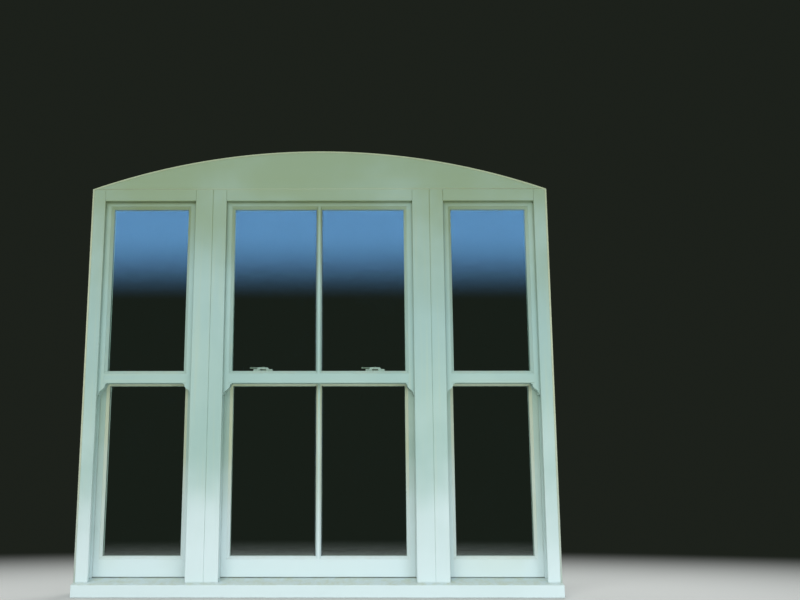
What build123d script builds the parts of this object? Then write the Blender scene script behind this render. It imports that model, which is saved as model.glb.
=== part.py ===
from build123d import *
import os
from math import radians, sqrt, tan

# Three-light timber sash window with a segmental arched head, in millimetres.
# X runs to the right as seen from outside, Y from the outside into the room, Z up.
# The origin is under the middle of the sill, half way between its front and back.

# Lights and the linings beside them, as seen from outside, left to right
SIDE_OPENING = 370.0
CENTRE_OPENING = 758.0
END_LINING = 54.0
WIDE_LINING = 71.0
NARROW_LINING = 56.0

# Heights above the underside of the sill
LINING_SOFFIT = 1550.0
HEAD_LINING = 50.0
ARCH_RISE = 161.0
MEETING_TOP = 857.0

# Depths through the frame
LINING_THICK = 20.0
SASH_THICK = 44.0
PARTING_THICK = 8.0
STAFF_THICK = 18.0
RUN_GAP = 0.8

# Sill
NOSE_HEIGHT = 46.0
NOSE_REACH = 35.0
SILL_SLOPE = 7.0
DRIP_WIDTH = 8.0
DRIP_DEPTH = 6.0
DRIP_SETBACK = 10.0

# Fit of the sashes in the frame
LINING_LAP = 12.0
SIDE_GAP = 1.5
TOP_GAP = 0.5
FOOT_GAP = 0.5
SPLAY_GAP = 0.6

# Sash members, measured across their faces
STILE = 45.0
TOP_RAIL = 42.0
UPPER_MEETING_RAIL = 49.0
LOWER_MEETING_RAIL = 56.0
BOTTOM_RAIL = 77.0
BAR = 22.0
HORN_LENGTH = 46.0
HORN_NIB = 5.0
HORN_TIP = 15.0
HORN_STEP = 4.0
MEETING_OVERLAP = 7.0
SPLAY = 4.0
THROAT_DEPTH = 10.0
THROAT_RISE = 3.5
ARRIS = 1.5
TENON_LENGTH = 20.0
TENON_THICK = 10.0
TENON_SHOULDER = 8.0

# Glazing
PANE = 4.0
SPACER = 6.0
SPACER_HEIGHT = 7.0
REBATE = 12.0
BAR_REBATE = 7.0
EDGE_GAP = 2.0
PUTTY_DEPTH = 10.0
PUTTY_RECESS = 2.0
PUTTY_FACE = 2.0
MOULD = 7.0

# Beads and cover strips
BEAD_GROOVE = 8.0
BEAD_INSET = 1.5
STAFF_WIDTH = 20.0
STAFF_ROUND = 9.0
COVER_WIDTH = 60.0
COVER_THICK = 8.0
COVER_BEVEL = 2.5
BLOCK_WIDTH = 60.0
BLOCK_DEPTH = 40.0
BLOCK_COUNT = 5
BLOCK_SHY = 6.0

# Spiral balances
TUBE_OUTER = 15.0
TUBE_WALL = 1.8
TUBE_SIDES = 24
ROD_GAP = 1.45
GROOVE_SIDE_GAP = 1.5
GROOVE_BACK_GAP = 2.0
TUBE_SETBACK = 1.0
TUBE_HEAD = 16.0
TUBE_TOP_GAP = 6.0
FOOT_BLOCK = 12.0
FOOT_SEAT = 12.0
FOOT_CLEAR = 5.0
ROD_OVERLAP = 45.0
UPPER_STOP = 63.0
LOWER_STOP = 65.5

# Fasteners on the meeting rails of the centre light
FASTENER_X = 225.0
PLATE_LENGTH = 76.0
PLATE_THICK = 3.5
KEEP_GAP = 3.0
KEEP_INSET = 1.0
BRIDGE_SIDE_GAP = 2.0
BRIDGE_LEG = 3.5
BRIDGE_THICK = 6.5
BRIDGE_SPREAD = 7.0
BRIDGE_ROUND = 2.5
BASE_DEPTH = 28.0
BASE_INSET = 1.5
BASE_ROUND = 7.0
PIVOT_SETBACK = 12.5
CAM_RADIUS = 22.0
CAM_THICK = 4.0
CAM_GAP = 0.8
HUB_RADIUS = 8.0
PIN_RADIUS = 4.0
PIN_HEAD_RADIUS = 6.0
PIN_HEAD = 1.5
PIVOT_GAP = 0.3
LEVER_LENGTH = 48.0
LEVER_WIDTH = 9.0
LEVER_THICK = 5.0
LEVER_RISE = 5.5
THUMB_RADIUS = 7.5

# Lifts on the bottom rails
LIFT_LENGTH = 90.0
LIFT_REACH = 16.0
LIFT_HEIGHT = 26.0
LIFT_LIP = 9.0
LIFT_COVE = 12.5
LIFT_FOOT = 2.0
LIFT_CLEAR = 4.4

# Fixing holes through the end jambs
FIXING_HOLE = 8.0
FIXING_HEIGHTS = (250.0, 800.0, 1350.0)

# Places along Y
OUTER_FRONT = LINING_THICK + RUN_GAP
OUTER_BACK = OUTER_FRONT + SASH_THICK
PARTING_FRONT = OUTER_BACK + RUN_GAP
PARTING_BACK = PARTING_FRONT + PARTING_THICK
INNER_FRONT = PARTING_BACK + RUN_GAP
INNER_BACK = INNER_FRONT + SASH_THICK
STAFF_FRONT = INNER_BACK + RUN_GAP
FRAME_BACK = STAFF_FRONT + STAFF_THICK

# Heights that follow from the sizes above
FRAME_TOP = LINING_SOFFIT + HEAD_LINING
HEAD_SOFFIT = LINING_SOFFIT + LINING_LAP + TOP_GAP
UPPER_TOP = HEAD_SOFFIT - TOP_GAP
UPPER_FOOT = MEETING_TOP - UPPER_MEETING_RAIL
UPPER_SIGHT = UPPER_TOP - TOP_RAIL
LOWER_SIGHT = MEETING_TOP - LOWER_MEETING_RAIL
GLASS_BACK = PUTTY_RECESS + PUTTY_DEPTH + 2 * PANE + SPACER

# Travels: the top rail stops short of the meeting rail, and the lower sash short of the head
UPPER_TRAVEL = UPPER_SIGHT - MEETING_TOP - UPPER_STOP
LOWER_TRAVEL = HEAD_SOFFIT - MEETING_TOP - LOWER_STOP

# The rod fits the tube corner to corner, and the groove fits the tube
ROD = (TUBE_OUTER / 2 - TUBE_WALL - ROD_GAP) * sqrt(2)
GROOVE_WIDE = TUBE_OUTER + 2 * GROOVE_SIDE_GAP
GROOVE_DEEP = TUBE_SETBACK + TUBE_OUTER + GROOVE_BACK_GAP

# The arch is one circle through both ends of the frame and the crown
HALF_WIDTH = (CENTRE_OPENING + WIDE_LINING + NARROW_LINING
              + 2 * SIDE_OPENING + 2 * END_LINING + WIDE_LINING + NARROW_LINING) / 2
ARCH_RADIUS = (HALF_WIDTH ** 2 + ARCH_RISE ** 2) / (2 * ARCH_RISE)

# Each light: its name, its unit's edges and the edges of its opening
LEFT_SEAM = -HALF_WIDTH + END_LINING + SIDE_OPENING + WIDE_LINING
RIGHT_SEAM = LEFT_SEAM + NARROW_LINING + CENTRE_OPENING + WIDE_LINING
LIGHTS = (
    ("left", -HALF_WIDTH, -HALF_WIDTH + END_LINING, LEFT_SEAM - WIDE_LINING, LEFT_SEAM),
    ("centre", LEFT_SEAM, LEFT_SEAM + NARROW_LINING, RIGHT_SEAM - WIDE_LINING, RIGHT_SEAM),
    ("right", RIGHT_SEAM, RIGHT_SEAM + NARROW_LINING, HALF_WIDTH - END_LINING, HALF_WIDTH),
)
CENTRE_X = (LIGHTS[1][2] + LIGHTS[1][3]) / 2

# The linings' faces are at Y = 0 while the pieces are made, then all move so that the depth is centred
MIDDLE_Y = (FRAME_BACK + COVER_THICK - NOSE_REACH) / 2


def sill_top(y):
    """Height of the weathered top of the sill at a depth y."""
    return NOSE_HEIGHT + (y + NOSE_REACH) * tan(radians(SILL_SLOPE))


SILL_FLAT = sill_top(STAFF_FRONT)
LOWER_FOOT = sill_top(INNER_BACK) + FOOT_GAP
BOTTOM_SIGHT = sill_top(INNER_FRONT) + FOOT_GAP + THROAT_RISE + BOTTOM_RAIL


def block(x0, x1, y0, y1, z0, z1):
    """A square-edged board between two corners."""
    return Pos((x0 + x1) / 2, (y0 + y1) / 2, (z0 + z1) / 2) * Box(x1 - x0, y1 - y0, z1 - z0)


def along_x(points, x0, x1):
    """A length of the section given as (y, z) points."""
    face = Plane.YZ.offset(x0) * make_face(Polyline(*points, close=True))
    return extrude(face, amount=x1 - x0, dir=(1, 0, 0))


def face_of(*curves):
    """The flat face inside a closed run of lines and curves."""
    return make_face([edge for curve in curves for edge in curve.edges()])


def member(section, corner, across, length):
    """A sash member: its section runs across from the corner and through +Y."""
    across = Vector(*across)
    along = across.cross(Vector(0, 1, 0))
    return extrude(Plane(origin=corner, x_dir=across, z_dir=along) * section, amount=length)


def moulding(x, side):
    """Quarter round at the back corner of a sash member's section."""
    turn = MOULD * (1 - sqrt(0.5))
    return ThreePointArc((x, SASH_THICK - MOULD), (x - side * turn, SASH_THICK - turn),
                         (x - side * MOULD, SASH_THICK))


def sash_section(width):
    """Face of a member from its outer edge to its glass edge, rebated in front and moulded behind."""
    inner = width - REBATE
    line = Polyline((0, SASH_THICK), (0, ARRIS), (ARRIS, 0), (inner, 0), (inner, GLASS_BACK),
                    (width, GLASS_BACK), (width, SASH_THICK - MOULD))
    back = Line((width - MOULD, SASH_THICK), (0, SASH_THICK))
    return face_of(line, moulding(width, 1), back)


def bar_section():
    """Face of a glazing bar: a core between the panes and a moulded back."""
    half = BAR / 2
    core = half - BAR_REBATE
    front = Polyline((-half, SASH_THICK - MOULD), (-half, GLASS_BACK), (-core, GLASS_BACK), (-core, 0),
                     (core, 0), (core, GLASS_BACK), (half, GLASS_BACK), (half, SASH_THICK - MOULD))
    back = Line((half - MOULD, SASH_THICK), (-half + MOULD, SASH_THICK))
    return face_of(front, moulding(half, 1), back, moulding(-half, -1))


def save(name, *solids):
    """Write one named node, as one solid or as a group of separate ones."""
    moved = [Pos(0, -MIDDLE_Y, 0) * solid for solid in solids]
    shape = moved[0] if len(moved) == 1 else Compound(children=moved)
    shape.label = name
    export_step(shape, f"parts/{name}.step")


# Sill: weathered top, flat back under the staff bead, drip under the nose
def make_sill():
    section = [(-NOSE_REACH, 0), (-NOSE_REACH, NOSE_HEIGHT - ARRIS), (-NOSE_REACH + ARRIS, NOSE_HEIGHT),
               (STAFF_FRONT, SILL_FLAT), (FRAME_BACK, SILL_FLAT), (FRAME_BACK, 0)]
    sill = along_x(section, -HALF_WIDTH, HALF_WIDTH)
    drip_front = -NOSE_REACH + DRIP_SETBACK
    return sill - block(-HALF_WIDTH, HALF_WIDTH, drip_front, drip_front + DRIP_WIDTH, 0, DRIP_DEPTH)


# Jambs: solid posts that stand on the slope of the sill, grooved for the parting bead
def make_jamb(edge, opening, drilled):
    """One post from its unit's edge to the face that the sashes run on, drilled where it meets the wall."""
    side = 1 if opening > edge else -1
    face = opening - side * (LINING_LAP + SIDE_GAP)
    section = [(LINING_THICK, sill_top(LINING_THICK)), (LINING_THICK, HEAD_SOFFIT),
               (FRAME_BACK, HEAD_SOFFIT), (FRAME_BACK, SILL_FLAT), (STAFF_FRONT, SILL_FLAT)]
    post = along_x(section, min(edge, face), max(edge, face))
    groove = block(min(face, face - side * BEAD_GROOVE), max(face, face - side * BEAD_GROOVE),
                   PARTING_FRONT, PARTING_BACK, 0, HEAD_SOFFIT)
    post -= groove
    if drilled:
        for height in FIXING_HEIGHTS:
            hole = Pos((edge + face) / 2, (OUTER_FRONT + OUTER_BACK) / 2, height) * Rot(0, 90, 0)
            post -= hole * Cylinder(FIXING_HOLE / 2, 2 * abs(edge - face))
    return post


def make_head(left, right, x0, x1):
    """Top member of one unit, grooved for its length of parting bead."""
    head = block(left, right, LINING_THICK, FRAME_BACK, HEAD_SOFFIT, FRAME_TOP)
    face_left = x0 - LINING_LAP - SIDE_GAP
    face_right = x1 + LINING_LAP + SIDE_GAP
    return head - block(face_left, face_right, PARTING_FRONT, PARTING_BACK,
                        HEAD_SOFFIT, HEAD_SOFFIT + BEAD_GROOVE)


# Linings: flat boards across the front of the posts and heads
def make_side_lining(x0, x1):
    """One upright lining with its foot cut to the slope of the sill."""
    section = [(0, sill_top(0)), (0, FRAME_TOP), (LINING_THICK, FRAME_TOP),
               (LINING_THICK, sill_top(LINING_THICK))]
    board = along_x(section, x0, x1)
    return chamfer(board.edges().filter_by(Axis.Z).group_by(Axis.Y)[0], ARRIS)


def make_head_lining(x0, x1):
    board = block(x0, x1, 0, LINING_THICK, LINING_SOFFIT, FRAME_TOP)
    return chamfer(board.edges().filter_by(Axis.X).group_by(Axis.Y)[0].sort_by(Axis.Z)[0], ARRIS)


# Arched head: a board cut to the curve of the brickwork, on blocks behind it
def arch_height(x, shy=0.0):
    """Height of the curve over a place x, kept shy of it by a margin."""
    radius = ARCH_RADIUS - shy
    return FRAME_TOP + ARCH_RISE - ARCH_RADIUS + sqrt(radius ** 2 - x ** 2)


def make_arch_board():
    chord = Line((-HALF_WIDTH, FRAME_TOP), (HALF_WIDTH, FRAME_TOP))
    curve = ThreePointArc((HALF_WIDTH, FRAME_TOP), (0, FRAME_TOP + ARCH_RISE), (-HALF_WIDTH, FRAME_TOP))
    face = Plane.XZ * face_of(chord, curve)
    return extrude(face, amount=LINING_THICK, dir=(0, 1, 0))


def make_arch_blocks():
    """Upright blocks on the heads that the arched board is fixed to."""
    step = 2 * HALF_WIDTH / (BLOCK_COUNT + 1)
    blocks = []
    for place in range(1, BLOCK_COUNT + 1):
        x = -HALF_WIDTH + place * step
        top = min(arch_height(x - BLOCK_WIDTH / 2, BLOCK_SHY), arch_height(x + BLOCK_WIDTH / 2, BLOCK_SHY))
        blocks.append(block(x - BLOCK_WIDTH / 2, x + BLOCK_WIDTH / 2,
                            LINING_THICK, LINING_THICK + BLOCK_DEPTH, FRAME_TOP, top))
    return blocks


# Parting beads stand in grooves between the two sashes of each light
def make_parting_beads(x0, x1):
    """Two upright beads and one under the head, for one light."""
    face_left = x0 - LINING_LAP - SIDE_GAP
    face_right = x1 + LINING_LAP + SIDE_GAP
    foot = [(PARTING_FRONT, sill_top(PARTING_FRONT)), (PARTING_FRONT, HEAD_SOFFIT),
            (PARTING_BACK, HEAD_SOFFIT), (PARTING_BACK, sill_top(PARTING_BACK))]
    left = along_x(foot, face_left - BEAD_GROOVE, x0 - BEAD_INSET)
    right = along_x(foot, x1 + BEAD_INSET, face_right + BEAD_GROOVE)
    top = block(x0 - BEAD_INSET, x1 + BEAD_INSET, PARTING_FRONT, PARTING_BACK,
                LINING_SOFFIT + BEAD_INSET, HEAD_SOFFIT + BEAD_GROOVE)
    return [left, right, top]


# Staff beads hold the inner sashes on the room side
def make_staff_beads(x0, x1):
    """Two upright beads, one under the head and one on the sill, for one light."""
    face_left = x0 - LINING_LAP - SIDE_GAP
    face_right = x1 + LINING_LAP + SIDE_GAP
    beads = [block(face_left, face_left + STAFF_WIDTH, STAFF_FRONT, FRAME_BACK, SILL_FLAT, HEAD_SOFFIT),
             block(face_right - STAFF_WIDTH, face_right, STAFF_FRONT, FRAME_BACK, SILL_FLAT, HEAD_SOFFIT),
             block(face_left + STAFF_WIDTH, face_right - STAFF_WIDTH, STAFF_FRONT, FRAME_BACK,
                   HEAD_SOFFIT - STAFF_WIDTH, HEAD_SOFFIT),
             block(face_left + STAFF_WIDTH, face_right - STAFF_WIDTH, STAFF_FRONT, FRAME_BACK,
                   SILL_FLAT, SILL_FLAT + STAFF_WIDTH)]
    rounds = ((Axis.Z, Axis.X, -1), (Axis.Z, Axis.X, 0), (Axis.X, Axis.Z, 0), (Axis.X, Axis.Z, -1))
    return [fillet(bead.edges().filter_by(run).group_by(Axis.Y)[-1].sort_by(side)[which], STAFF_ROUND)
            for bead, (run, side, which) in zip(beads, rounds)]


def make_cover(seam):
    """Strip over the joint of two posts on the room side."""
    strip = block(seam - COVER_WIDTH / 2, seam + COVER_WIDTH / 2, FRAME_BACK, FRAME_BACK + COVER_THICK,
                  SILL_FLAT, FRAME_TOP)
    return chamfer(strip.edges().filter_by(Axis.Z).group_by(Axis.Y)[-1], COVER_BEVEL)


# Sashes: sizes that all members share
def sash_edges(x0, x1):
    """Outer edges of a sash and the glass edges of its stiles."""
    left = x0 - LINING_LAP
    right = x1 + LINING_LAP
    return left, right, left + STILE, right - STILE


def balance_groove(edge, side, front, z0, z1):
    """Space cut in the edge of a stile for its balance."""
    deep = edge + side * GROOVE_DEEP
    near = front + (SASH_THICK - GROOVE_WIDE) / 2
    return block(min(edge, deep), max(edge, deep), near, near + GROOVE_WIDE, z0, z1)


def make_horn(edge, side):
    """Shaped end of an upper stile under the meeting rail: a nib, then a reversed curve to the tip."""
    inner = edge + side * STILE
    nib = inner - side * HORN_NIB
    tip = edge + side * HORN_TIP
    foot = UPPER_FOOT - HORN_LENGTH
    drop = UPPER_FOOT - HORN_STEP
    middle = ((nib + tip) / 2, (drop + foot) / 2)
    outline = Polyline((tip, foot), (edge, foot), (edge, UPPER_FOOT), (inner, UPPER_FOOT), (inner, drop),
                       (nib, drop))
    hollow = TangentArc((nib, drop), middle, tangent=(0, -1))
    swell = TangentArc((tip, foot), middle, tangent=(0, 1))
    face = Plane.XZ.offset(-OUTER_FRONT) * face_of(outline, hollow, swell)
    return extrude(face, amount=SASH_THICK, dir=(0, 1, 0))


def mortice(edge, side, front, low, high):
    """Slot in a stile for the tenon of a rail that lies between two heights."""
    mouth = edge + side * STILE
    deep = mouth - side * TENON_LENGTH
    near = front + GLASS_BACK
    return block(min(deep, mouth), max(deep, mouth), near, near + TENON_THICK,
                 low + TENON_SHOULDER, high - TENON_SHOULDER)


def fitted(piece, others):
    """A piece with its ends cut to the shape of the pieces that they run into."""
    for other in others:
        piece -= other
    return piece


def make_upper_stiles(x0, x1):
    left, right, _, _ = sash_edges(x0, x1)
    section = sash_section(STILE)
    height = UPPER_TOP - UPPER_FOOT
    seat = UPPER_FOOT + FOOT_SEAT
    stiles = []
    for edge, side, start in ((left, 1, UPPER_FOOT), (right, -1, UPPER_TOP)):
        stile = member(section, (edge, OUTER_FRONT, start), (side, 0, 0), height)
        stile += make_horn(edge, side)
        stile -= balance_groove(edge, side, OUTER_FRONT, seat, UPPER_TOP)
        for low, high in ((UPPER_FOOT, MEETING_TOP), (UPPER_SIGHT, UPPER_TOP)):
            stile -= mortice(edge, side, OUTER_FRONT, low, high)
        stiles.append(stile)
    return stiles


def make_lower_stiles(x0, x1):
    left, right, _, _ = sash_edges(x0, x1)
    section = sash_section(STILE)
    stiles = []
    for edge, side, start in ((left, 1, 0), (right, -1, MEETING_TOP)):
        stile = member(section, (edge, INNER_FRONT, start), (side, 0, 0), MEETING_TOP)
        stile -= balance_groove(edge, side, INNER_FRONT, LOWER_SEAT, MEETING_TOP)
        stile -= below_sash(min(edge, edge + side * STILE), max(edge, edge + side * STILE))
        for low, high in ((LOWER_FOOT, BOTTOM_SIGHT), (LOWER_SIGHT, MEETING_TOP)):
            stile -= mortice(edge, side, INNER_FRONT, low, high)
        stiles.append(stile)
    return stiles


def below_sash(x0, x1):
    """Everything under an inner sash: the sill's slope, and a throat cut up behind the front face."""
    front = INNER_FRONT - ARRIS
    back = INNER_BACK + ARRIS
    throat = INNER_FRONT + THROAT_DEPTH
    points = [(front, -NOSE_HEIGHT), (front, sill_top(front) + FOOT_GAP + THROAT_RISE),
              (throat, sill_top(throat) + FOOT_GAP + THROAT_RISE), (throat, sill_top(throat) + FOOT_GAP),
              (back, sill_top(back) + FOOT_GAP), (back, -NOSE_HEIGHT)]
    return along_x(points, x0, x1)


def splay_y(z, gap=0.0):
    """Depth of the slanted joint between the meeting rails at a height z."""
    return OUTER_BACK + MEETING_OVERLAP - SPLAY * (z - UPPER_FOOT) / UPPER_MEETING_RAIL + gap


def rail_ends(x0, x1):
    """Where the tenons of the rails of a sash end."""
    _, _, glass_left, glass_right = sash_edges(x0, x1)
    return glass_left - TENON_LENGTH, glass_right + TENON_LENGTH


def make_top_rail(x0, x1):
    left, right = rail_ends(x0, x1)
    return member(sash_section(TOP_RAIL), (left, OUTER_FRONT, UPPER_TOP), (0, 0, -1), right - left)


def make_upper_meeting_rail(x0, x1):
    """Rail under the outer glass, with a splayed back that reaches across to the inner sash."""
    left, right = rail_ends(x0, x1)
    rail = block(left, right, OUTER_FRONT, OUTER_BACK, UPPER_FOOT, MEETING_TOP)
    rail = chamfer(rail.edges().filter_by(Axis.X).group_by(Axis.Y)[0].sort_by(Axis.Z)[0], ARRIS)
    rail -= block(left, right, OUTER_FRONT, OUTER_FRONT + GLASS_BACK, MEETING_TOP - REBATE, MEETING_TOP)
    lip = along_x([(OUTER_BACK, UPPER_FOOT), (OUTER_BACK, MEETING_TOP), (splay_y(MEETING_TOP), MEETING_TOP),
                   (splay_y(UPPER_FOOT), UPPER_FOOT)], x0, x1)
    return rail + lip


def make_lower_meeting_rail(x0, x1):
    """Rail over the inner glass, with the matching splay on its front."""
    left, right = rail_ends(x0, x1)
    rail = member(sash_section(LOWER_MEETING_RAIL), (left, INNER_FRONT, MEETING_TOP), (0, 0, -1),
                  right - left)
    foot = LOWER_SIGHT + REBATE
    back = INNER_FRONT + ARRIS
    lip = along_x([(back, foot), (back, MEETING_TOP), (splay_y(MEETING_TOP, SPLAY_GAP), MEETING_TOP),
                   (splay_y(foot, SPLAY_GAP), foot)], x0, x1)
    return rail + lip


def make_bottom_rail(x0, x1):
    """Deep rail whose underside follows the sill."""
    left, right = rail_ends(x0, x1)
    rail = member(sash_section(BOTTOM_SIGHT), (right, INNER_FRONT, 0), (0, 0, 1), right - left)
    return rail - below_sash(left, right)


def make_bar(front, z0, z1):
    """Bar between two sight heights, long enough to fill the rebates of the rails."""
    return member(bar_section(), (CENTRE_X, front, z0 - REBATE), (1, 0, 0), z1 - z0 + 2 * REBATE)


def lights_of(name, x0, x1):
    """Sight edges of the panes of one sash, with the depth of the rebate at each side."""
    _, _, glass_left, glass_right = sash_edges(x0, x1)
    if name != "centre":
        return [(glass_left, glass_right, REBATE, REBATE)]
    return [(glass_left, CENTRE_X - BAR / 2, REBATE, BAR_REBATE),
            (CENTRE_X + BAR / 2, glass_right, BAR_REBATE, REBATE)]


# Glazing: sealed units of two panes on a spacer, held by a bevelled putty fillet in front
def make_glazing(name, x0, x1, front, z0, z1):
    """Panes and spacers of one sash between its sight heights."""
    solids = []
    outer = front + PUTTY_RECESS + PUTTY_DEPTH
    for left, right, deep_left, deep_right in lights_of(name, x0, x1):
        a, b = left - deep_left + EDGE_GAP, right + deep_right - EDGE_GAP
        low, high = z0 - REBATE + EDGE_GAP, z1 + REBATE - EDGE_GAP
        solids.append(block(a, b, outer, outer + PANE, low, high))
        solids.append(block(a, b, outer + PANE + SPACER, outer + 2 * PANE + SPACER, low, high))
        ring = block(a, b, outer + PANE, outer + PANE + SPACER, low, high)
        solids.append(ring - block(a + SPACER_HEIGHT, b - SPACER_HEIGHT, outer, outer + 2 * PANE + SPACER,
                                   low + SPACER_HEIGHT, high - SPACER_HEIGHT))
    return solids


def make_putty(name, x0, x1, front, z0, z1):
    """Bevelled fillets in front of the panes: wide at the glass, narrow at the face."""
    rings = []
    face = front + PUTTY_RECESS
    glass = face + PUTTY_DEPTH
    for left, right, deep_left, deep_right in lights_of(name, x0, x1):
        ring = block(left - deep_left, right + deep_right, face, glass, z0 - REBATE, z1 + REBATE)
        near = (left - deep_left + PUTTY_FACE, right + deep_right - PUTTY_FACE,
                z0 - REBATE + PUTTY_FACE, z1 + REBATE - PUTTY_FACE)
        far = (left, right, z0, z1)
        panels = []
        for (a, b, c, d), depth in ((near, face), (far, glass)):
            panels.append(make_face(Polyline((a, depth, c), (b, depth, c), (b, depth, d), (a, depth, d),
                                             close=True)))
        rings.append(ring - loft(panels))
    return rings


# Spiral balances: a tube held at the top of each post, and a rod that stands on each sash
def balance_axis(edge, side, front):
    return edge + side * (TUBE_SETBACK + TUBE_OUTER / 2), front + SASH_THICK / 2


def make_tube(edge, side, front, foot):
    """Tube, its round as many narrow flats, with a head block against the face of the post."""
    x, y = balance_axis(edge, side, front)
    top = HEAD_SOFFIT - TUBE_TOP_GAP
    length = top - TUBE_HEAD - foot
    radius = TUBE_OUTER / 2
    wall = RegularPolygon(radius, TUBE_SIDES) - RegularPolygon(radius - TUBE_WALL, TUBE_SIDES)
    tube = extrude(Pos(x, y, foot) * wall, amount=length)
    face = edge - side * SIDE_GAP
    far = x + side * radius
    return tube + block(min(face, far), max(face, far), y - radius, y + radius, top - TUBE_HEAD, top)


def make_rod(edge, side, front, seat, top):
    """Rod with the foot block that stands in the groove of the stile."""
    x, y = balance_axis(edge, side, front)
    rod = block(x - ROD / 2, x + ROD / 2, y - ROD / 2, y + ROD / 2, seat, top)
    half = FOOT_BLOCK / 2
    return rod + block(x - half, x + half, y - half, y + half, seat, seat + FOOT_BLOCK)


UPPER_SEAT = UPPER_FOOT + FOOT_SEAT
UPPER_TUBE_FOOT = UPPER_SEAT + FOOT_BLOCK + FOOT_CLEAR
UPPER_ROD_TOP = UPPER_TUBE_FOOT + UPPER_TRAVEL + ROD_OVERLAP
LOWER_SEAT = LOWER_FOOT + FOOT_SEAT
LOWER_TUBE_FOOT = LOWER_SEAT + FOOT_BLOCK + LOWER_TRAVEL + FOOT_CLEAR
LOWER_ROD_TOP = LOWER_TUBE_FOOT + ROD_OVERLAP


# Fasteners: a bridge on the outer rail, and a half-round cam on the inner rail that turns under it
BASE_FRONT = splay_y(MEETING_TOP, SPLAY_GAP) + BASE_INSET
PIVOT_Y = BASE_FRONT + PIVOT_SETBACK
KEEP_BACK = splay_y(MEETING_TOP) - KEEP_INSET
KEEP_FRONT = OUTER_FRONT + GLASS_BACK + KEEP_GAP
CAM_MOUTH = sqrt(CAM_RADIUS ** 2 - (PIVOT_Y - KEEP_BACK) ** 2) + BRIDGE_SIDE_GAP
PLATE_TOP = MEETING_TOP + PLATE_THICK
CAM_FOOT = PLATE_TOP + CAM_GAP
CAM_TOP = CAM_FOOT + CAM_THICK
LEVER_FOOT = CAM_TOP + LEVER_RISE
LEVER_TOP = LEVER_FOOT + LEVER_THICK


def make_keep(x):
    """Plate with a bridge in its middle, spread at its feet and high enough for the cam."""
    plate = block(x - PLATE_LENGTH / 2, x + PLATE_LENGTH / 2, KEEP_FRONT, KEEP_BACK, MEETING_TOP, PLATE_TOP)
    under = CAM_TOP + CAM_GAP
    top = under + BRIDGE_THICK
    half = CAM_MOUTH + BRIDGE_LEG
    foot = half + BRIDGE_SPREAD
    outline = Polyline((x - foot, MEETING_TOP), (x - foot, PLATE_TOP), (x - half, top), (x + half, top),
                       (x + foot, PLATE_TOP), (x + foot, MEETING_TOP), close=True)
    arch = extrude(Plane.XZ.offset(-KEEP_FRONT) * make_face(outline), amount=KEEP_BACK - KEEP_FRONT,
                   dir=(0, 1, 0))
    arch = fillet(arch.edges().filter_by(Axis.Y).group_by(Axis.Z)[-1], BRIDGE_ROUND)
    arch -= block(x - CAM_MOUTH, x + CAM_MOUTH, KEEP_FRONT, KEEP_BACK, PLATE_TOP, under)
    return plate + arch


def make_base(x):
    """Plate with the riveted pin that the lever turns on."""
    plate = block(x - PLATE_LENGTH / 2, x + PLATE_LENGTH / 2, BASE_FRONT, BASE_FRONT + BASE_DEPTH,
                  MEETING_TOP, PLATE_TOP)
    plate = fillet(plate.edges().filter_by(Axis.Z), BASE_ROUND)
    head_foot = LEVER_TOP + PIVOT_GAP
    pin = Pos(x, PIVOT_Y, (MEETING_TOP + head_foot) / 2) * Cylinder(PIN_RADIUS, head_foot - MEETING_TOP)
    cap = Pos(x, PIVOT_Y, head_foot + PIN_HEAD / 2) * Cylinder(PIN_HEAD_RADIUS, PIN_HEAD)
    return plate + pin + cap


def make_lever(x):
    """Hub with a half-round cam turned to the room, and an arm with a round thumb end."""
    cam = Pos(x, PIVOT_Y, (CAM_FOOT + CAM_TOP) / 2) * Cylinder(CAM_RADIUS, CAM_THICK)
    cam -= block(x - CAM_RADIUS, x + CAM_RADIUS, PIVOT_Y - CAM_RADIUS, PIVOT_Y, CAM_FOOT, CAM_TOP)
    hub = Pos(x, PIVOT_Y, (CAM_FOOT + LEVER_TOP) / 2) * Cylinder(HUB_RADIUS, LEVER_TOP - CAM_FOOT)
    arm = block(x - LEVER_LENGTH, x, PIVOT_Y - LEVER_WIDTH / 2, PIVOT_Y + LEVER_WIDTH / 2,
                LEVER_FOOT, LEVER_TOP)
    thumb = Pos(x - LEVER_LENGTH, PIVOT_Y, (LEVER_FOOT + LEVER_TOP) / 2)
    thumb *= Cylinder(THUMB_RADIUS, LEVER_THICK)
    bore = Pos(x, PIVOT_Y, (CAM_FOOT + LEVER_TOP) / 2)
    bore *= Cylinder(PIN_RADIUS + PIVOT_GAP, LEVER_TOP - CAM_FOOT)
    return cam + hub + arm + thumb - bore


def make_lift(x):
    """Moulded bar on the room face of a bottom rail, hollowed under its lip for the fingers."""
    foot = SILL_FLAT + STAFF_WIDTH + LIFT_CLEAR
    top = foot + LIFT_HEIGHT
    lip = INNER_BACK + LIFT_REACH
    turn = lip - LIFT_LIP / 2
    outline = Polyline((INNER_BACK + LIFT_FOOT, foot), (INNER_BACK, foot), (INNER_BACK, top), (turn, top))
    nose = ThreePointArc((turn, top), (lip, top - LIFT_LIP / 2), (turn, top - LIFT_LIP))
    cove = RadiusArc((turn, top - LIFT_LIP), (INNER_BACK + LIFT_FOOT, foot), -LIFT_COVE)
    face = Plane.YZ.offset(x - LIFT_LENGTH / 2) * face_of(outline, nose, cove)
    return extrude(face, amount=LIFT_LENGTH, dir=(1, 0, 0))


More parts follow.
